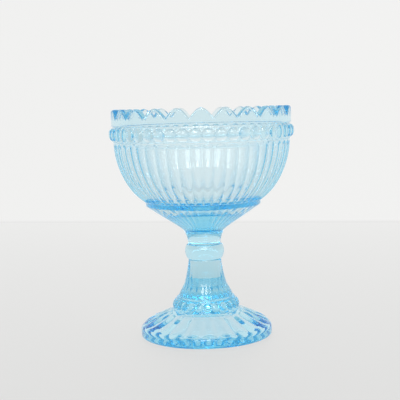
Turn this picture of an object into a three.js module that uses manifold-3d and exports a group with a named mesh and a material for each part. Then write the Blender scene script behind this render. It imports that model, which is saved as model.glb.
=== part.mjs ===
// Footed dessert bowl in pressed glass, in millimetres, +Z up.
// The bowl and the foot are two pressings, joined hot by a short knop of glass, so the bowl has
// three solids on one axis. The origin is the middle of the ring that the foot stands on, and
// the front, where a scallop of the rim points, is towards -Y.

import * as THREE from 'three';
import { mergeVertices } from 'three/addons/utils/BufferGeometryUtils.js';
import Module from 'manifold-3d';

// Foot: a plain edge, a petalled skirt, a ring of beads and a reeded stem
const FOOT_DIAMETER = 69.6;
const FOOT_EDGE_HEIGHT = 3.6;
const FOOT_EDGE_ROUND = 1;
const FOOT_RIM_WIDTH = 2.4;
const FOOT_TURN_DEG = 2;
const FOOT_REPEATS = 24;
const HOLLOW_RISE = 14.5;
const HOLLOW_WAIST_DIAMETER = 27;
const HOLLOW_WAIST_RISE = 10.2;
const HOLLOW_CROWN = 4.5;
const SKIRT_RISE = 10.3;
const SKIRT_SHOULDER = 3.4;
const SKIRT_REACH = 9.5;
const SKIRT_REACH_RISE = 4.4;
const PETAL_HEIGHT = 0.7;
const PETAL_LENGTH = 0.8;
const RING_BASE_DIAMETER = 35.8;
const RING_TOP_DIAMETER = 31.4;
const RING_HEIGHT = 5.6;
const RING_SHOULDER = 1.1;
const RING_BEAD_RISE = 0.8;
const STEM_BASE_DIAMETER = 28.8;
const STEM_TOP_DIAMETER = 17.2;
const STEM_HEIGHT = 19.6;
const STEM_FLARE = 3.5;
const STEM_FLARE_RISE = 3.6;
const STEM_SLIM = 0.5;
const STEM_SLIM_DROP = 7;
const REED_HEIGHT = 0.4;

// Knop: a rounded collar under a plain neck
const COLLAR_DIAMETER = 20.7;
const COLLAR_HEIGHT = 8;
const NECK_DIAMETER = 17.2;
const NECK_HEIGHT = 5.85;
const NECK_TOP_DIAMETER = 19.5;
const SEAM_GAP = 0.3;

// Bowl: a funnel, a ledge, a fluted wall, a band of beads and a scalloped rim
const FUNNEL_RISE = 14.15;
const FUNNEL_FILLET_RISE = 4.1;
const FUNNEL_FILLET_REACH = 4.95;
const LEDGE_DIAMETER = 60.6;
const LEDGE_HEIGHT = 3;
const LEDGE_LIP = 0.4;
const FLUTE_HEIGHT = 31;
const FLUTE_DEPTH = 0.75;
const FLUTE_COUNT = 48;
const WALL_SETBACK = 0.9;
const WALL_LEAN = 10.7;
const WALL_LEAN_RISE = 7.7;
const WALL_UPRIGHT = 9;
const RIM_DIAMETER = 93.8;
const BAND_INSET = 0.9;
const BAND_HEIGHT = 8.6;
const BEAD_RISE = 2.4;
const RIM_HEIGHT = 8.6;
const RIM_STEP = 0.4;
const RIM_ROUND = 0.7;
const RIM_WALL = 4.2;
const SCALLOP_COUNT = 24;
const SCALLOP_DEPTH = 4.8;
const WALL_THICKNESS = 3.7;
const BOWL_FLOOR_DROP = 0.1;
const BOWL_FLOOR_CORNER = 1.5;

// Fineness of the facets
const FACETS_ACROSS = 4;
const SMOOTH_FACETS = 72;
const KNOP_FACETS = 48;
const FOLD_TOLERANCE = 0.001;

// Heights, stacked from the surface that the foot stands on
const skirtBase = FOOT_EDGE_HEIGHT;
const ringBase = skirtBase + SKIRT_RISE;
const ringTop = ringBase + RING_HEIGHT;
const stemBase = ringTop + RING_SHOULDER;
const stemTop = stemBase + STEM_HEIGHT;
const collarBase = stemTop + SEAM_GAP;
const collarTop = collarBase + COLLAR_HEIGHT;
const neckTop = collarTop + NECK_HEIGHT;
const funnelBase = neckTop + SEAM_GAP;
const ledgeBase = funnelBase + FUNNEL_RISE;
const bowlFloor = ledgeBase - BOWL_FLOOR_DROP;
const ledgeTop = ledgeBase + LEDGE_HEIGHT;
const bandBase = ledgeTop + FLUTE_HEIGHT;
const bandTop = bandBase + BAND_HEIGHT;
const rimTop = bandTop + RIM_HEIGHT;

const footRadius = FOOT_DIAMETER / 2;
const ringBaseRadius = RING_BASE_DIAMETER / 2;
const ringTopRadius = RING_TOP_DIAMETER / 2;
const stemBaseRadius = STEM_BASE_DIAMETER / 2;
const stemTopRadius = STEM_TOP_DIAMETER / 2;
const collarRadius = COLLAR_DIAMETER / 2;
const neckRadius = NECK_DIAMETER / 2;
const neckTopRadius = NECK_TOP_DIAMETER / 2;
const ledgeRadius = LEDGE_DIAMETER / 2;
const rimRadius = RIM_DIAMETER / 2;
const bandRadius = rimRadius - BAND_INSET;

const wasm = await Module();
wasm.setup();

// Place in one repeat of a pattern that goes round the axis: -1 and 1 at its ends, 0 in its middle
function across(angle, count) {
  const turns = (angle * count) / (2 * Math.PI);
  return 2 * (turns - Math.floor(turns)) - 1;
}

// Rounded crest of a reed or petal, 1 along its middle and 0 in the grooves beside it
function crest(angle, count) {
  return 1 - across(angle + Math.PI / count, count) ** 2;
}

// Hollow of a flute, 1 along its middle and 0 on the ridges beside it
function hollow(angle, count) {
  return 1 - across(angle, count) ** 2;
}

// Dome of a bead, where w runs from -1 to 1 over its height and u over its width
function dome(u, w) {
  return Math.sqrt(Math.max(0, 1 - u * u - w * w));
}

// Fullness of a relief along its length s, from 0 to 1, with rounded ends
function roundEnded(s) {
  return Math.sqrt(Math.max(0, 1 - (2 * s - 1) ** 8));
}

// How far the rim drops below its peaks between the scallops
function scallopDrop(angle) {
  return SCALLOP_DEPTH * (1 - Math.abs(Math.cos((angle * SCALLOP_COUNT) / 2)));
}

// One ring of a turned surface, with its relief outwards and upwards as functions of the angle
function ring(r, z, outwards = () => 0, upwards = () => 0) {
  return { r, z, outwards, upwards };
}

// Solid turned about Z from rings that start and end on the axis, each with its own relief
function turned(rings, facets) {
  const outline = rings.map(({ r, z }) => new THREE.Vector2(r, z));
  const geometry = new THREE.LatheGeometry(outline, facets);
  const position = geometry.getAttribute('position');
  for (let i = 0; i < position.count; i += 1) {
    const { r, z, outwards, upwards } = rings[i % rings.length];
    const angle = (2 * Math.PI * Math.floor(i / rings.length)) / facets;
    const radius = r === 0 ? 0 : r + outwards(angle);
    position.setXYZ(i, radius * Math.sin(angle), -radius * Math.cos(angle), z + upwards(angle));
  }
  foldOutwards(geometry);
  return toSolid(geometry);
}

// Splits each facet along the diagonal that stands further out, so that reliefs come out symmetrical
function foldOutwards(geometry) {
  const position = geometry.getAttribute('position');
  const corners = geometry.getIndex().array;
  const midpoint = new THREE.Vector3();
  const opposite = new THREE.Vector3();
  const reach = (p, q) => {
    midpoint.fromBufferAttribute(position, p).add(opposite.fromBufferAttribute(position, q));
    return Math.hypot(midpoint.x, midpoint.y) + midpoint.z;
  };
  for (let i = 0; i < corners.length; i += 6) {
    const [a, b, d, c] = corners.slice(i, i + 4);
    if (reach(a, c) > reach(b, d) + FOLD_TOLERANCE) corners.set([a, b, c, a, c, d], i);
  }
}

// Closed solid of a geometry whose shared vertices are merged
function toSolid(geometry) {
  geometry.deleteAttribute('normal');
  geometry.deleteAttribute('uv');
  const merged = mergeVertices(geometry);
  const corners = merged.getIndex().array;
  const kept = [];
  for (let i = 0; i < corners.length; i += 3) {
    const [a, b, c] = corners.slice(i, i + 3);
    if (a !== b && b !== c && c !== a) kept.push(a, b, c);
  }
  const vertProperties = new Float32Array(merged.getAttribute('position').array);
  const triVerts = new Uint32Array(kept);
  return new wasm.Manifold(new wasm.Mesh({ numProp: 3, vertProperties, triVerts }));
}

// Named mesh of a solid
function toMesh(name, solid, material) {
  const { vertProperties, triVerts } = solid.getMesh();
  const geometry = new THREE.BufferGeometry();
  geometry.setAttribute('position', new THREE.BufferAttribute(vertProperties, 3));
  geometry.setIndex(new THREE.BufferAttribute(triVerts, 1));
  geometry.computeVertexNormals();
  const mesh = new THREE.Mesh(geometry, material);
  mesh.name = name;
  return mesh;
}

// Line, quadratic or cubic curve through 2, 3 or 4 points, each a radius and a height
function curveThrough(...points) {
  const [a, b, c, d] = points.map(([r, z]) => new THREE.Vector2(r, z));
  if (d) return new THREE.CubicBezierCurve(a, b, c, d);
  return c ? new THREE.QuadraticBezierCurve(a, b, c) : new THREE.LineCurve(a, b);
}

// Rings at the given shares of a curve, each moved by its relief square to the curve
function along(curve, shares, relief = () => 0) {
  return shares.map((share) => {
    const { x, y } = curve.getPoint(share);
    const run = curve.getTangent(share);
    const outwards = (angle) => run.y * relief(share, angle);
    const upwards = (angle) => -run.x * relief(share, angle);
    return ring(x, y, outwards, upwards);
  });
}

// Rings of a band of beads on a line, with the beads' middle row in the middle
function beadRings(start, end, rise, count, turn) {
  const relief = (share, angle) => rise * dome(across(angle + turn, count), 2 * share - 1);
  return along(curveThrough(start, end), [0, 0.14, 0.5, 0.86, 1], relief);
}

// Outside of the foot, from the standing ring up to the top of the stem
function footOutside() {
  const skirt = curveThrough(
    [footRadius, skirtBase],
    [footRadius, skirtBase + SKIRT_SHOULDER],
    [footRadius - SKIRT_REACH, skirtBase + SKIRT_REACH_RISE],
    [ringBaseRadius, ringBase],
  );
  const petal = (share, angle) => {
    return PETAL_HEIGHT * roundEnded(share / PETAL_LENGTH) * crest(angle, FOOT_REPEATS);
  };
  const stem = curveThrough(
    [stemBaseRadius, stemBase],
    [stemBaseRadius - STEM_FLARE, stemBase + STEM_FLARE_RISE],
    [stemTopRadius + STEM_SLIM, stemTop - STEM_SLIM_DROP],
    [stemTopRadius, stemTop],
  );
  const reed = (share, angle) => {
    return REED_HEIGHT * roundEnded(share / 2) * (1 - share) ** 2 * crest(angle, FOOT_REPEATS);
  };
  const ringFoot = [ringBaseRadius, ringBase];
  const ringHead = [ringTopRadius, ringTop];
  const beadTurn = Math.PI / FOOT_REPEATS;
  const facets = FOOT_REPEATS * FACETS_ACROSS;
  return turned([
    ring(0, 0),
    ring(footRadius - FOOT_EDGE_ROUND, 0),
    ring(footRadius, FOOT_EDGE_ROUND),
    ...along(skirt, [0, 0.07, 0.25, 0.5, 0.7, PETAL_LENGTH], petal),
    ...beadRings(ringFoot, ringHead, RING_BEAD_RISE, FOOT_REPEATS, beadTurn),
    ...along(stem, [0, 0.06, 0.2, 0.4, 0.7, 1], reed),
    ring(0, stemTop),
  ], facets);
}

// Space under the foot, left by the plunger that presses it
function footHollow() {
  const mouth = footRadius - FOOT_EDGE_ROUND - FOOT_RIM_WIDTH;
  const waist = HOLLOW_WAIST_DIAMETER / 2;
  const slope = HOLLOW_WAIST_RISE / (mouth - waist);
  const crown = curveThrough(
    [waist, HOLLOW_WAIST_RISE],
    [waist - HOLLOW_CROWN, HOLLOW_WAIST_RISE + slope * HOLLOW_CROWN],
    [HOLLOW_CROWN, HOLLOW_RISE],
    [0, HOLLOW_RISE],
  );
  return turned([
    ring(0, -FOOT_EDGE_ROUND),
    ring(mouth, -FOOT_EDGE_ROUND),
    ring(mouth, 0),
    ...along(crown, [0, 0.25, 0.5, 0.75, 1]),
  ], SMOOTH_FACETS);
}

function knopSolid() {
  const lip = (COLLAR_DIAMETER - STEM_TOP_DIAMETER) / 2;
  const collarMiddle = collarBase + COLLAR_HEIGHT / 2;
  const lower = curveThrough(
    [stemTopRadius, collarBase],
    [collarRadius, collarBase + lip],
    [collarRadius, collarMiddle],
  );
  const upper = curveThrough(
    [collarRadius, collarMiddle],
    [collarRadius, collarTop - lip / 2],
    [neckRadius, collarTop],
  );
  const waist = curveThrough(
    [neckRadius, collarTop],
    [neckRadius, collarTop + NECK_HEIGHT / 2],
    [neckTopRadius, neckTop],
  );
  return turned([
    ring(0, collarBase),
    ...[lower, upper, waist].flatMap((curve) => along(curve, [0, 0.4, 0.75])),
    ring(neckTopRadius, neckTop),
    ring(0, neckTop),
  ], KNOP_FACETS);
}

// Underside of the bowl, from the seam on the knop out to the ledge
function bowlFunnel() {
  const fillet = curveThrough(
    [neckTopRadius, funnelBase],
    [neckTopRadius + FUNNEL_FILLET_REACH / 9, funnelBase + FUNNEL_FILLET_RISE / 4],
    [neckTopRadius + FUNNEL_FILLET_REACH / 4, funnelBase + FUNNEL_FILLET_RISE / 2],
    [neckTopRadius + FUNNEL_FILLET_REACH, funnelBase + FUNNEL_FILLET_RISE],
  );
  return turned([
    ring(0, funnelBase),
    ...along(fillet, [0, 0.25, 0.5, 0.75, 1]),
    ring(ledgeRadius - LEDGE_LIP, ledgeBase),
    ring(ledgeRadius - LEDGE_LIP, ledgeBase + LEDGE_HEIGHT / 2),
    ring(0, ledgeBase + LEDGE_HEIGHT / 2),
  ], SMOOTH_FACETS);
}

// Outline of the fluted wall, from the ledge up to the band
function wallCurve() {
  const wallFoot = ledgeRadius + WALL_SETBACK;
  return curveThrough(
    [wallFoot, ledgeTop],
    [wallFoot + WALL_LEAN, ledgeTop + WALL_LEAN_RISE],
    [bandRadius, bandBase - WALL_UPRIGHT],
    [bandRadius, bandBase],
  );
}

// Outside of the bowl as the mould forms it, solid up to the rim
function bowlOutside() {
  const flute = (share, angle) => {
    return -FLUTE_DEPTH * roundEnded(share) * hollow(angle, FLUTE_COUNT);
  };
  const bandFoot = [bandRadius, bandBase];
  const bandHead = [bandRadius, bandTop];
  const drop = (angle) => -scallopDrop(angle);
  const facets = FLUTE_COUNT * FACETS_ACROSS;
  return turned([
    ring(0, ledgeBase),
    ring(ledgeRadius, ledgeBase),
    ring(ledgeRadius, ledgeTop),
    ...along(wallCurve(), [0, 0.04, 0.2, 0.4, 0.65, 0.93], flute),
    ...beadRings(bandFoot, bandHead, BEAD_RISE, FLUTE_COUNT, 0),
    ring(rimRadius, bandTop + RIM_STEP),
    ring(rimRadius, rimTop - RIM_ROUND, undefined, drop),
    ring(rimRadius - RIM_ROUND, rimTop, undefined, drop),
    ring(rimRadius - RIM_WALL - RIM_ROUND, rimTop, undefined, drop),
    ring(0, bandTop),
  ], facets);
}

// Smooth inside of the bowl, left by the plunger that presses it: an even wall over a flat floor
function bowlInside() {
  const wall = wallCurve();
  const within = (share) => {
    const run = wall.getTangent(share);
    return wall.getPoint(share).add(new THREE.Vector2(-run.y, run.x).multiplyScalar(WALL_THICKNESS));
  };
  const start = within(0);
  const run = wall.getTangent(0);
  const corner = start.x - ((start.y - bowlFloor) * run.x) / run.y;
  const bend = curveThrough(
    [corner - BOWL_FLOOR_CORNER, bowlFloor],
    [corner, bowlFloor],
    [corner + BOWL_FLOOR_CORNER * run.x, bowlFloor + BOWL_FLOOR_CORNER * run.y],
  );
  const side = [0, 0.15, 0.3, 0.5, 0.75, 1].map(within);
  const mouth = rimRadius - RIM_WALL;
  return turned([
    ring(0, bowlFloor),
    ...along(bend, [0, 0.5, 1]),
    ...side.map(({ x, y }) => ring(x, y)),
    ring(mouth, bandTop),
    ring(mouth, rimTop + RIM_ROUND),
    ring(0, rimTop + RIM_ROUND),
  ], SMOOTH_FACETS);
}

const glass = new THREE.MeshStandardMaterial({
  color: 0xa9d6ee,
  roughness: 0.05,
  metalness: 0,
  transparent: true,
  opacity: 0.45,
});

const foot = toMesh('foot', footOutside().subtract(footHollow()), glass);
foot.rotation.z = THREE.MathUtils.degToRad(FOOT_TURN_DEG);
const knop = toMesh('knop', knopSolid(), glass);
const bowl = toMesh('bowl', bowlOutside().add(bowlFunnel()).subtract(bowlInside()), glass);

const dessertBowl = new THREE.Group();
dessertBowl.add(foot, knop, bowl);

export default dessertBowl;
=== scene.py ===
"""Footed dessert bowl in pale blue pressed glass: fine surfaces, glass and studio."""
import math

import bpy
import numpy as np
from mathutils import Matrix, Vector


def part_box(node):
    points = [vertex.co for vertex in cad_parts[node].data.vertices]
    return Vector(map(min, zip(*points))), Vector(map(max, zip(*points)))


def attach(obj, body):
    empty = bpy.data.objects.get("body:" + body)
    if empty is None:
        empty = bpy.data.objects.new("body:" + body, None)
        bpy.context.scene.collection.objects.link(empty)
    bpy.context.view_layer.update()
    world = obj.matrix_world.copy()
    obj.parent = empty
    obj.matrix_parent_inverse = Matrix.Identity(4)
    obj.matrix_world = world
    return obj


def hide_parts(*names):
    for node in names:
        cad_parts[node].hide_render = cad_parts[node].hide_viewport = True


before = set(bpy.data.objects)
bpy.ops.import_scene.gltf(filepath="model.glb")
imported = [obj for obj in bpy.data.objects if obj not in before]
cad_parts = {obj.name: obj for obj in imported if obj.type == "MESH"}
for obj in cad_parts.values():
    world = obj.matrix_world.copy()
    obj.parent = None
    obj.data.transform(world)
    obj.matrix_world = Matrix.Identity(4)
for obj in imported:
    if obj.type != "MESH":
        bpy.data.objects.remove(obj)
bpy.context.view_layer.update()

MM = 0.001

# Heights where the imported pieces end; all lengths are in millimetres
FOOT_TOP = (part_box("foot")[1] / MM).z
KNOP_BASE = (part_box("knop")[0] / MM).z
RIM_TOP = (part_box("bowl")[1] / MM).z

# Seams, fused hot: a hair's breadth apart, with a fine uneven groove round the outside
SEAM = 0.02
SEAM_GROOVE = 0.3
SEAM_WAVE = 0.25
SEAM_WAVE_COUNTS = (3, 5, 8)
SEAM_WAVE_STARTS = (0.6, 2.0, 0.0)
LOWER_SEAM = (FOOT_TOP + KNOP_BASE) / 2
UPPER_SEAM = 54.5

# Rim of the bowl
RIM_RADIUS = 46.9
RIM_WALL = 4.2
RIM_ROUND = 1.1
RIM_FLAT = 0.6
RIM_HEIGHT = 8.6
RIM_BEND = 3
RIM_GAP = 0.1
SCALLOPS = 24
SCALLOP_DEPTH = 4.8

# Band of beads
BAND_TOP = RIM_TOP - RIM_HEIGHT
BAND_HEIGHT = 8.6
BAND_BASE = BAND_TOP - BAND_HEIGHT
BAND_RADIUS = 46.0
BAND_STEP = 0.6
BAND_SQUARENESS = 6
BAND_ROWS = 48
BEAD_RISE = 1.8
BEAD_WIDTH = 0.97
BEAD_HEIGHT = 6.4
BEAD_SQUARENESS = 2.2
BEAD_FULLNESS = 0.6

# Fluted wall of the bowl
FLUTES = 48
FLUTE_DEPTH = 0.75
FLUTE_ARCH = 2.5
FLUTE_MARGIN = 0.3
FLUTE_FOOT = 0.4
WALL_LEAN = (10.7, 7.7)
WALL_UPRIGHT = 9.0
WALL_OVERHANG = 0.9

# Ledge and funnel under the wall
LEDGE_TOP = 71.8
LEDGE_BASE = 69.2
LEDGE_RADIUS = 30.3
LEDGE_SHOULDER = 0.5
LEDGE_ROUND = 0.3
LEDGE_TAPER = 0.1
LEDGE_LEAN = 0.05
LEDGE_UNDERCUT = (0.45, 0.3)
FUNNEL_WAIST = (14.5, 58.75)
FUNNEL_TURN = (1.15, 2.25)
NECK_TOP_RADIUS = 10.05
NECK_TURN = (0.45, 1.2)
RAY_COUNT = 48
RAY_DEPTH = 0.2
RAY_CLEARANCE = 1

# Inside of the bowl
WALL_THICKNESS = 3.7
FLOOR_HEIGHT = 67.7
FLOOR_CORNER = 1.5

# Knop
NECK_RADIUS = 8.6
NECK_BASE = 48.5
NECK_UPRIGHT = 3
COLLAR_RADIUS = 10.35
COLLAR_BULGE = 0.5
COLLAR_ROUND = 1.3
COLLAR_FOOT = 9.2
COLLAR_INSET = 0.8
COLLAR_LIFT = 0.4
COLLAR_DROP = 0.3

# Foot
FOOT_RADIUS = 34.8
FOOT_TURN = math.radians(2)
FOOT_REPEATS = 24
FOOT_EDGE_HEIGHT = 3.6
FOOT_EDGE_ROUND = 1.0
FOOT_RIM_WIDTH = 2.4
HOLLOW_RISE = 14.5
HOLLOW_SPREAD = 9
HOLLOW_WAIST = (13.5, 9.4)
HOLLOW_FALL = (3.5, 2)
HOLLOW_SAG = (24, 2.3)
SKIRT_SHOULDER = 3.4
SKIRT_REACH = (9.5, 4.4)
SKIRT_TOP = (17.9, 13.9)
PETAL_HEIGHT = 0.8
PETAL_START = 0.12
PETAL_END = 0.88
RING_TOP = (15.7, 19.5)
RING_TURN = (0.3, 0.2)
RING_BEAD_RISE = 0.8
RING_BEAD_MIDDLE = 0.42
RING_BEAD_REACH = 0.28
STEM_BASE = (14.4, 20.6)
STEM_FLARE = (1.5, 3.3)
STEM_SHOULDER = (11.1, 27.0)
STEM_TURN = (0.7, 2.2)
STEM_SLIM = (0.7, 6.2)
STEM_TOP_RADIUS = 8.6
REED_HEIGHT = 0.18
REED_START = 0.05
REED_END = 0.9

# Fineness of the meshes
FLUTE_STEPS = 14
FOOT_STEPS = 20
KNOP_STEPS = 160
END_SQUARENESS = 4
SHARP_ANGLE = math.radians(55)

# Glass
GLASS_COLOUR = (0.955, 0.985, 0.995, 1)
GLASS_INDEX = 1.5
SEAM_INDEX = 1.0001
TINT_COLOUR = (0.0, 0.745, 0.945, 1)
TINT_DENSITY = 29
RIPPLE_SCALE = 300
RIPPLE_DETAIL = 2
RIPPLE_HEIGHT_M = 0.000006

# Camera, as fitted to the photograph's ellipses and outline
IMAGE_SIDE = 400
FOCAL_PIXELS = 910
SENSOR_MM = 36
CAMERA_DISTANCE = 478
CAMERA_HEIGHT = 120
CAMERA_ASIDE = -1.7
CAMERA_PITCH = math.radians(5.81)
CAMERA_ROLL = math.radians(1.6)

# Studio
TABLE_BACK = 455
TABLE_SIDE = 3000
TABLE_FRONT = -2500
TABLE_TURN = math.radians(-11.8)
TABLE_DROP = 0.05
SWEEP_RADIUS = 4
SWEEP_STEPS = 12
WALL_HEIGHT = 1800
POOL_RADIUS = 32.6
POOL_DROP = 0.02
POOL_SIDES = 96
PAPER_COLOUR = (0.06, 0.06, 0.0595, 1)
PAPER_ROUGHNESS = 0.6
PAPER_LIGHT = (1, 1, 0.99, 1)
# Painted light: the blue-tinted glow of the disc under the foot, standing in for light that comes
# through the glass
POOL_LIGHT = (0.84, 0.97, 1.03, 1)
FRONT_GLOW = 0.34
TABLE_GLOW = 0.69
WALL_GLOW = 0.79
SKY_GLOW = 0.72
KEY_LIGHT = {"place": (-100, -1140, 700), "target": (0, 0, 60), "size": (900, 480), "power": 5.4}
TOP_LIGHT = {"place": (-20, -800, 880), "target": (0, 0, 20), "size": (340, 220), "power": 2.0}
LIGHT_BOUNCES = 40


def bezier(points, count):
    """Evenly stepped points of a Bezier curve."""
    t = np.linspace(0, 1, count)[:, None]
    level = [np.array(p, float) for p in points]
    while len(level) > 1:
        level = [a * (1 - t) + b * t for a, b in zip(level[:-1], level[1:])]
    return level[0]


def line(start, end, count):
    """Evenly stepped points of a straight run."""
    return bezier([start, end], count)


def joined(*runs):
    """One profile of runs that each start where the last one ends."""
    return np.concatenate([runs[0]] + [run[1:] for run in runs[1:]])


def ring_angles(count):
    return np.arange(count) * 2 * math.pi / count


def across(theta, repeats):
    """Place in one repeat of a pattern round the axis: 0 in its middle, -1 and 1 at its ends."""
    turns = theta * repeats / (2 * math.pi) + 0.5
    return (2 * (turns - np.floor(turns)) - 1)[None, :]


def shares(profile):
    """How far each point lies along a profile, from 0 to 1."""
    steps = np.linalg.norm(np.diff(profile, axis=0), axis=1)
    run = np.concatenate([[0], np.cumsum(steps)])
    return (run / run[-1])[:, None]


def sideways(profile):
    """Unit vectors square to a profile: outwards where it runs up the outside."""
    run = np.gradient(profile, axis=0)
    run /= np.linalg.norm(run, axis=1, keepdims=True)
    return np.stack([run[:, 1], -run[:, 0]], axis=1)


def strip(profile, theta, relief=0.0, seam=False, inner=False):
    """Rows of a turned strip, raised square to its profile; an inner one leaves out its end rows."""
    out = sideways(profile)
    relief = relief + np.zeros((len(profile), len(theta)))
    radii = profile[:, :1] + out[:, :1] * relief
    heights = profile[:, 1:] + out[:, 1:] * relief
    kept = slice(1, -1) if inner else slice(None)
    return radii[kept], heights[kept], np.full(len(profile), seam)[kept]


def reversed_strip(rows):
    return tuple(part[::-1] for part in rows)


def seam_strip(profile, theta, lift):
    """A seam's face, a hair above or below the seam's own height, and as uneven as a hot seam is."""
    radii, heights, seams = strip(profile, theta, seam=True)
    wave = sum(np.sin(count * theta + start) for count, start in zip(SEAM_WAVE_COUNTS, SEAM_WAVE_STARTS))
    rise = SEAM_WAVE / 2 * wave[None, :] * (radii / NECK_TOP_RADIUS) ** 2
    return radii, heights + rise + lift, seams


def turned_object(name, strips, theta):
    """Closed mesh of strips that start and end on the axis, with its seam faces marked."""
    radii, heights, seams = (np.concatenate(parts) for parts in zip(*strips))
    rows, steps = radii.shape
    grid = np.stack([radii * np.sin(theta), -radii * np.cos(theta), heights], axis=-1)
    poles = np.array([[0, 0, heights[0].mean()], [0, 0, heights[-1].mean()]])
    vertices = np.concatenate([grid[1:-1].reshape(-1, 3), poles]) * MM
    ring = np.arange(steps)
    after = (ring + 1) % steps
    faces = []
    marks = []
    for row in range(rows - 3):
        a = row * steps
        b = a + steps
        faces += np.stack([a + ring, b + ring, b + after, a + after], axis=1).tolist()
        marks += [bool(seams[row + 1] and seams[row + 2])] * steps
    first_pole = (rows - 2) * steps
    last = first_pole - steps
    faces += np.stack([np.full(steps, first_pole), ring, after], axis=1).tolist()
    marks += [bool(seams[0])] * steps
    faces += np.stack([last + ring, np.full(steps, first_pole + 1), last + after], axis=1).tolist()
    marks += [bool(seams[-1])] * steps
    mesh = bpy.data.meshes.new(name)
    mesh.from_pydata(vertices.tolist(), [], faces)
    mesh.attributes.new("seam", "FLOAT", "FACE").data.foreach_set("value", np.array(marks, np.float32))
    if signed_volume(mesh) < 0:
        mesh.flip_normals()
    mesh.shade_smooth()
    mesh.set_sharp_from_angle(angle=SHARP_ANGLE)
    piece = bpy.data.objects.new(name, mesh)
    bpy.context.scene.collection.objects.link(piece)
    return piece


def signed_volume(mesh):
    """Six times the volume inside a mesh, below zero where its faces look inwards."""
    mesh.calc_loop_triangles()
    places = np.empty(len(mesh.vertices) * 3)
    mesh.vertices.foreach_get("co", places)
    triangles = np.empty(len(mesh.loop_triangles) * 3, dtype=np.int32)
    mesh.loop_triangles.foreach_get("vertices", triangles)
    a, b, c = np.moveaxis(places.reshape(-1, 3)[triangles.reshape(-1, 3)], 1, 0)
    return np.einsum("ij,ij->i", a, np.cross(b, c)).sum()


def dome(u, v):
    """Height of a bead over its place, 1 in its middle and 0 from its edge outwards."""
    distance = np.abs(u / BEAD_WIDTH) ** BEAD_SQUARENESS + np.abs(v) ** BEAD_SQUARENESS
    return np.clip(1 - distance, 0, None) ** BEAD_FULLNESS


def long_ends(v):
    """Height along a petal or a ray: nearly even between its ends, at -1 and 1, and 0 past them."""
    return np.clip(1 - v ** END_SQUARENESS, 0, None)


def rim_strip(profile, theta):
    """The rim, whose rows follow the scallops more and more towards the top."""
    radii, heights, seams = strip(profile, theta)
    drop = SCALLOP_DEPTH * (1 - np.abs(np.cos(theta * SCALLOPS / 2)))
    share = np.clip((heights - BAND_TOP) / (RIM_TOP - RIM_ROUND - BAND_TOP), 0, 1)
    return radii, heights - drop[None, :] * share, seams


def bead_band(theta):
    """The raised band with its row of beads, from its top edge down to just above the wall."""
    w = np.linspace(1, -1, BAND_ROWS + 1)[:-1, None]
    heights = BAND_BASE + BAND_HEIGHT * (w + 1) / 2
    step = BAND_STEP * np.sqrt(np.clip(1 - w ** BAND_SQUARENESS, 0, None))
    middle = BAND_BASE + BAND_HEIGHT / 2
    beads = BEAD_RISE * dome(across(theta, FLUTES), (heights - middle) / (BEAD_HEIGHT / 2))
    return BAND_RADIUS + step + beads, heights + 0 * beads, np.full(len(w), False)


def wall_profile():
    """Outline of the fluted wall, from the ledge up to the band."""
    foot = (LEDGE_RADIUS + WALL_OVERHANG, LEDGE_TOP)
    return bezier([
        foot,
        (foot[0] + WALL_LEAN[0], foot[1] + WALL_LEAN[1]),
        (BAND_RADIUS, BAND_BASE - WALL_UPRIGHT),
        (BAND_RADIUS, BAND_BASE),
    ], 90)


def flutes(profile, theta):
    """Relief of the wall: scoops with arched ends, side by side between thin ridges."""
    heights = profile[:, 1:]
    over = np.clip(heights - (BAND_BASE - FLUTE_MARGIN - FLUTE_ARCH), 0, None) / FLUTE_ARCH
    under = np.clip(LEDGE_TOP + FLUTE_FOOT - heights, 0, None) / FLUTE_FOOT
    u = across(theta, FLUTES)
    return -FLUTE_DEPTH * np.clip(1 - u ** 2 - over ** 2 - under ** 2, 0, None)


def cup_profile(wall):
    """Inside of the bowl: a flat floor, and a wall that follows the outside at an even thickness."""
    side = wall - sideways(wall) * WALL_THICKNESS
    slope = side[1] - side[0]
    foot = side[0] + slope * (FLOOR_HEIGHT - side[0][1]) / slope[1]
    start = (foot[0] - FLOOR_CORNER, FLOOR_HEIGHT)
    bend = np.argmin(np.linalg.norm(side - foot, axis=1) < FLOOR_CORNER)
    return joined(
        line((0, FLOOR_HEIGHT), start, 12),
        bezier([start, foot, side[bend]], 12),
        side[bend:],
    )


def rim_profile(start):
    """The rim, up its inside from the cup, over its rounded top and down its outside to the band."""
    mouth = RIM_RADIUS - RIM_WALL
    middle = RIM_RADIUS - RIM_WALL / 2
    shoulder = RIM_TOP - RIM_ROUND
    flat_inside = (middle - RIM_FLAT / 2, RIM_TOP)
    flat_outside = (middle + RIM_FLAT / 2, RIM_TOP)
    return joined(
        bezier([start, (mouth, BAND_BASE + RIM_BEND), (mouth, BAND_TOP)], 8),
        line((mouth, BAND_TOP), (mouth, shoulder), 14),
        bezier([(mouth, shoulder), (mouth, RIM_TOP), flat_inside], 7),
        line(flat_inside, flat_outside, 3),
        bezier([flat_outside, (RIM_RADIUS, RIM_TOP), (RIM_RADIUS, shoulder)], 7),
        line((RIM_RADIUS, shoulder), (RIM_RADIUS, BAND_TOP + RIM_GAP), 14),
    )


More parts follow.
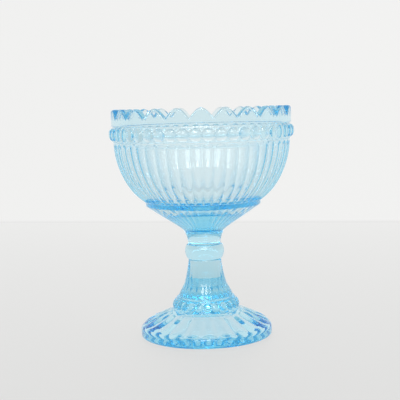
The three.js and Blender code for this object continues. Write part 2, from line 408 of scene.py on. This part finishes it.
def underside_profile(start, groove):
    """Outside of the bowl under its wall: the ledge, the funnel and the turn into the neck."""
    ledge_foot = LEDGE_RADIUS - LEDGE_TAPER
    ledge_head = (LEDGE_RADIUS, LEDGE_TOP - LEDGE_SHOULDER)
    ledge_side = (ledge_foot, LEDGE_BASE + LEDGE_ROUND)
    ledge_edge = (ledge_foot - LEDGE_UNDERCUT[0], LEDGE_BASE - LEDGE_UNDERCUT[1])
    neck_top = (NECK_TOP_RADIUS, UPPER_SEAM + SEAM_GROOVE)
    return joined(
        bezier([start, (LEDGE_RADIUS, LEDGE_TOP), ledge_head], 6),
        line(ledge_head, ledge_side, 4),
        bezier([ledge_side, (ledge_foot - LEDGE_LEAN, LEDGE_BASE), ledge_edge], 6),
        line(ledge_edge, FUNNEL_WAIST, 24),
        bezier([
            FUNNEL_WAIST,
            (NECK_TOP_RADIUS + FUNNEL_TURN[0], FUNNEL_WAIST[1] - FUNNEL_TURN[1]),
            (NECK_TOP_RADIUS + NECK_TURN[0], UPPER_SEAM + NECK_TURN[1]),
            neck_top,
        ], 14),
        line(neck_top, groove, 4),
    )


def rays(profile, theta):
    """Relief of the funnel: shallow scoops that run down from the ledge to the neck."""
    top = LEDGE_TOP - LEDGE_SHOULDER
    middle = (top + UPPER_SEAM + RAY_CLEARANCE) / 2
    v = (profile[:, 1:] - middle) / (top - middle)
    return RAY_DEPTH * long_ends(v) * across(theta, RAY_COUNT) ** 2


def make_bowl():
    theta = ring_angles(FLUTES * FLUTE_STEPS)
    pattern = theta + math.pi / FLUTES
    wall = wall_profile()
    cup = cup_profile(wall)
    groove = (NECK_TOP_RADIUS - SEAM_GROOVE, UPPER_SEAM)
    underside = underside_profile(wall[0], groove)
    return turned_object("glass_bowl", [
        strip(cup[:-1], theta),
        rim_strip(rim_profile(cup[-1]), theta),
        bead_band(pattern),
        reversed_strip(strip(wall, theta, flutes(wall, pattern))),
        strip(underside, theta, rays(underside, pattern), inner=True),
        seam_strip(line(groove, (0, UPPER_SEAM), 8), theta, SEAM / 2),
    ], theta)


def make_knop():
    theta = ring_angles(KNOP_STEPS)
    low_groove = (STEM_TOP_RADIUS - SEAM_GROOVE, LOWER_SEAM)
    high_groove = (NECK_TOP_RADIUS - SEAM_GROOVE, UPPER_SEAM)
    base = LOWER_SEAM + SEAM_GROOVE
    foot = (COLLAR_FOOT, base)
    low_corner = (COLLAR_RADIUS - COLLAR_INSET, base + COLLAR_LIFT)
    low_edge = (COLLAR_RADIUS - COLLAR_BULGE, base + COLLAR_ROUND)
    bulge = (COLLAR_RADIUS + COLLAR_BULGE, (base + NECK_BASE) / 2)
    high_edge = (COLLAR_RADIUS - COLLAR_BULGE, NECK_BASE - COLLAR_ROUND)
    high_corner = (COLLAR_RADIUS - COLLAR_INSET, NECK_BASE - COLLAR_DROP)
    neck = (NECK_RADIUS, NECK_BASE)
    neck_top = (NECK_TOP_RADIUS, UPPER_SEAM - SEAM_GROOVE)
    side = joined(
        line(low_groove, foot, 4),
        bezier([foot, low_corner, low_edge], 8),
        bezier([low_edge, bulge, high_edge], 14),
        bezier([high_edge, high_corner, neck], 8),
        bezier([neck, (NECK_RADIUS, NECK_BASE + NECK_UPRIGHT), neck_top], 14),
        line(neck_top, high_groove, 4),
    )
    return turned_object("glass_knop", [
        seam_strip(line((0, LOWER_SEAM), low_groove, 8), theta, SEAM / 2),
        strip(side[1:-1], theta),
        seam_strip(line(high_groove, (0, UPPER_SEAM), 8), theta, -SEAM / 2),
    ], theta)


def petals(profile, theta):
    """Relief of the skirt: one long rounded petal to each bead of the ring."""
    middle = (PETAL_START + PETAL_END) / 2
    v = (shares(profile) - middle) / (PETAL_END - middle)
    return PETAL_HEIGHT * long_ends(v) * (1 - across(theta, FOOT_REPEATS) ** 2)


def ring_beads(profile, theta):
    """Relief of the ring over the skirt: one bead to each petal."""
    v = (shares(profile) - RING_BEAD_MIDDLE) / RING_BEAD_REACH
    return RING_BEAD_RISE * dome(across(theta, FOOT_REPEATS), v)


def reeds(profile, theta):
    """Relief of the stem: low reeds that die out towards the top."""
    share = shares(profile)
    start = np.clip(1 - share / REED_START, 0, None)
    height = REED_HEIGHT * np.clip(1 - share / REED_END, 0, None)
    return height * np.clip(1 - across(theta, FOOT_REPEATS) ** 2 - start ** 2, 0, None)


def under_profile():
    """The hollow under the foot, the ring that it stands on and the plain edge."""
    outer = FOOT_RADIUS - FOOT_EDGE_ROUND
    mouth = (outer - FOOT_RIM_WIDTH, 0)
    slope = (mouth[1] - HOLLOW_WAIST[1]) / (mouth[0] - HOLLOW_WAIST[0])
    apex = HOLLOW_WAIST[1] - slope * (HOLLOW_WAIST[0] - HOLLOW_SPREAD)
    fall = (HOLLOW_WAIST[0] + HOLLOW_FALL[0], HOLLOW_WAIST[1] - HOLLOW_FALL[1])
    return joined(
        bezier([
            (0, HOLLOW_RISE),
            (HOLLOW_SPREAD / 2, HOLLOW_RISE),
            (HOLLOW_SPREAD, apex),
            HOLLOW_WAIST,
        ], 24),
        bezier([HOLLOW_WAIST, fall, HOLLOW_SAG, mouth], 24),
        line(mouth, (outer, 0), 4),
        bezier([(outer, 0), (FOOT_RADIUS, 0), (FOOT_RADIUS, FOOT_EDGE_ROUND)], 6),
        line((FOOT_RADIUS, FOOT_EDGE_ROUND), (FOOT_RADIUS, FOOT_EDGE_HEIGHT), 5),
    )


def skirt_profile():
    return bezier([
        (FOOT_RADIUS, FOOT_EDGE_HEIGHT),
        (FOOT_RADIUS, FOOT_EDGE_HEIGHT + SKIRT_SHOULDER),
        (FOOT_RADIUS - SKIRT_REACH[0], FOOT_EDGE_HEIGHT + SKIRT_REACH[1]),
        SKIRT_TOP,
    ], 60)


def ring_profile():
    return joined(
        line(SKIRT_TOP, RING_TOP, 24),
        bezier([RING_TOP, (RING_TOP[0] - RING_TURN[0], STEM_BASE[1] - RING_TURN[1]), STEM_BASE], 8),
    )


def stem_profile(top):
    flare = (STEM_BASE[0] - STEM_FLARE[0], STEM_BASE[1] + STEM_FLARE[1])
    return joined(
        bezier([STEM_BASE, flare, STEM_SHOULDER], 24),
        bezier([
            STEM_SHOULDER,
            (STEM_SHOULDER[0] - STEM_TURN[0], STEM_SHOULDER[1] + STEM_TURN[1]),
            (top[0] + STEM_SLIM[0], top[1] - STEM_SLIM[1]),
            top,
        ], 40),
    )


def make_foot():
    theta = ring_angles(FOOT_REPEATS * FOOT_STEPS)
    pattern = theta - FOOT_TURN
    top = (STEM_TOP_RADIUS, LOWER_SEAM - SEAM_GROOVE)
    groove = (STEM_TOP_RADIUS - SEAM_GROOVE, LOWER_SEAM)
    skirt = skirt_profile()
    ring = ring_profile()
    stem = stem_profile(top)
    return turned_object("glass_foot", [
        strip(under_profile()[:-1], theta),
        strip(skirt, theta, petals(skirt, pattern)),
        strip(ring[1:], theta, ring_beads(ring, pattern)[1:]),
        strip(stem[1:], theta, reeds(stem, pattern)[1:]),
        strip(line(top, groove, 4)[1:-1], theta),
        seam_strip(line(groove, (0, LOWER_SEAM), 8), theta, -SEAM / 2),
    ], theta)


def glass_material():
    """Pale blue glass, tinted by the thickness that light goes through, with no step at the seams."""
    material = bpy.data.materials.new("pale_blue_glass")
    material.use_nodes = True
    nodes = material.node_tree.nodes
    links = material.node_tree.links
    shader = nodes["Principled BSDF"]
    shader.inputs["Base Color"].default_value = GLASS_COLOUR
    shader.inputs["Roughness"].default_value = 0.0
    shader.inputs["Transmission Weight"].default_value = 1.0
    shader.inputs["IOR"].default_value = GLASS_INDEX
    seam = nodes.new("ShaderNodeAttribute")
    seam.attribute_name = "seam"
    index = nodes.new("ShaderNodeMath")
    index.operation = "MULTIPLY_ADD"
    index.inputs[1].default_value = SEAM_INDEX - GLASS_INDEX
    index.inputs[2].default_value = GLASS_INDEX
    links.new(seam.outputs["Fac"], index.inputs[0])
    links.new(index.outputs[0], shader.inputs["IOR"])
    ripple = nodes.new("ShaderNodeTexNoise")
    ripple.inputs["Scale"].default_value = RIPPLE_SCALE
    ripple.inputs["Detail"].default_value = RIPPLE_DETAIL
    bump = nodes.new("ShaderNodeBump")
    bump.inputs["Distance"].default_value = RIPPLE_HEIGHT_M
    place = nodes.new("ShaderNodeTexCoord")
    links.new(place.outputs["Object"], ripple.inputs["Vector"])
    links.new(ripple.outputs["Fac"], bump.inputs["Height"])
    links.new(bump.outputs["Normal"], shader.inputs["Normal"])
    absorption = nodes.new("ShaderNodeVolumeAbsorption")
    absorption.inputs["Color"].default_value = TINT_COLOUR
    absorption.inputs["Density"].default_value = TINT_DENSITY
    links.new(absorption.outputs["Volume"], nodes["Material Output"].inputs["Volume"])
    return material


def paper_material(name, light):
    """Paper that glows by itself as much as the table does."""
    material = bpy.data.materials.new(name)
    material.use_nodes = True
    shader = material.node_tree.nodes["Principled BSDF"]
    shader.inputs["Base Color"].default_value = PAPER_COLOUR
    shader.inputs["Roughness"].default_value = PAPER_ROUGHNESS
    shader.inputs["Emission Color"].default_value = light
    shader.inputs["Emission Strength"].default_value = TABLE_GLOW
    return material


def glow_from_mesh(material):
    """Lets a paper glow as much as its mesh says, from place to place."""
    glow = material.node_tree.nodes.new("ShaderNodeAttribute")
    glow.attribute_name = "glow"
    strength = material.node_tree.nodes["Principled BSDF"].inputs["Emission Strength"]
    material.node_tree.links.new(glow.outputs["Fac"], strength)


def make_stage():
    """A pale table top that sweeps up into a pale wall."""
    angles = np.linspace(0, math.pi / 2, SWEEP_STEPS)
    sweep_back = TABLE_BACK + SWEEP_RADIUS * np.sin(angles)
    sweep_rise = SWEEP_RADIUS * (1 - np.cos(angles))
    sweep = np.stack([sweep_back, sweep_rise], axis=1)
    profile = np.concatenate([[(TABLE_FRONT, 0)], sweep, [(TABLE_BACK + SWEEP_RADIUS, WALL_HEIGHT)]])
    vertices = [(side, y, z) for y, z in profile for side in (-TABLE_SIDE, TABLE_SIDE)]
    faces = [(2 * i, 2 * i + 1, 2 * i + 3, 2 * i + 2) for i in range(len(profile) - 1)]
    mesh = bpy.data.meshes.new("studio_sweep")
    mesh.from_pydata([Vector(v) * MM for v in vertices], [], faces)
    mesh.shade_smooth()
    stage = bpy.data.objects.new("studio_sweep", mesh)
    bpy.context.scene.collection.objects.link(stage)
    stage.location.z = -TABLE_DROP * MM
    stage.rotation_euler.z = TABLE_TURN
    back = TABLE_GLOW + (WALL_GLOW - TABLE_GLOW) * np.sin(angles) ** 2
    glow = np.repeat(np.concatenate([[FRONT_GLOW], back, [WALL_GLOW]]), 2)
    mesh.attributes.new("glow", "FLOAT", "POINT").data.foreach_set("value", glow.astype(np.float32))
    paper = paper_material("studio_paper", PAPER_LIGHT)
    glow_from_mesh(paper)
    mesh.materials.append(paper)


def make_pool():
    """Painted light: a glowing disc on the table inside the foot, pale blue as if it were lit only
    through the blue glass.
    """
    theta = ring_angles(POOL_SIDES)
    heights = np.full(POOL_SIDES, -POOL_DROP)
    corners = np.stack([POOL_RADIUS * np.cos(theta), POOL_RADIUS * np.sin(theta), heights], axis=1)
    mesh = bpy.data.meshes.new("tinted_light")
    mesh.from_pydata((corners * MM).tolist(), [], [range(POOL_SIDES)])
    pool = bpy.data.objects.new("tinted_light", mesh)
    bpy.context.scene.collection.objects.link(pool)
    mesh.materials.append(paper_material("painted_blue_light", POOL_LIGHT))


def make_camera():
    data = bpy.data.cameras.new("camera")
    data.sensor_width = SENSOR_MM
    data.lens = FOCAL_PIXELS / IMAGE_SIDE * SENSOR_MM
    camera = bpy.data.objects.new("camera", data)
    place = Matrix.Translation(Vector((CAMERA_ASIDE, -CAMERA_DISTANCE, CAMERA_HEIGHT)) * MM)
    tilt = Matrix.Rotation(math.pi / 2 - CAMERA_PITCH, 4, "X")
    roll = Matrix.Rotation(-CAMERA_ROLL, 4, "Z")
    camera.matrix_world = place @ tilt @ roll
    bpy.context.scene.collection.objects.link(camera)
    bpy.context.scene.camera = camera


def area_light(name, place, target, size, power):
    data = bpy.data.lights.new(name, "AREA")
    data.shape = "RECTANGLE"
    data.size, data.size_y = (side * MM for side in size)
    data.energy = power
    light = bpy.data.objects.new(name, data)
    light.location = Vector(place) * MM
    aim = (Vector(target) - Vector(place)).to_track_quat("-Z", "Y")
    light.rotation_euler = aim.to_euler()
    bpy.context.scene.collection.objects.link(light)


def make_light():
    world = bpy.data.worlds.new("studio")
    world.use_nodes = True
    background = world.node_tree.nodes["Background"]
    background.inputs["Color"].default_value = (1, 1, 1, 1)
    background.inputs["Strength"].default_value = SKY_GLOW
    bpy.context.scene.world = world
    area_light("key", **KEY_LIGHT)
    area_light("top", **TOP_LIGHT)
    bpy.context.scene.view_settings.view_transform = "Standard"
    bpy.context.scene.cycles.max_bounces = LIGHT_BOUNCES
    bpy.context.scene.cycles.transmission_bounces = LIGHT_BOUNCES
    bpy.context.scene.cycles.glossy_bounces = LIGHT_BOUNCES


make_camera()
make_stage()
make_pool()
make_light()
glass = glass_material()
for make, node in ((make_bowl, "bowl"), (make_knop, "knop"), (make_foot, "foot")):
    piece = make()
    piece.data.materials.append(glass)
    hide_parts(node)
    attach(piece, "root")
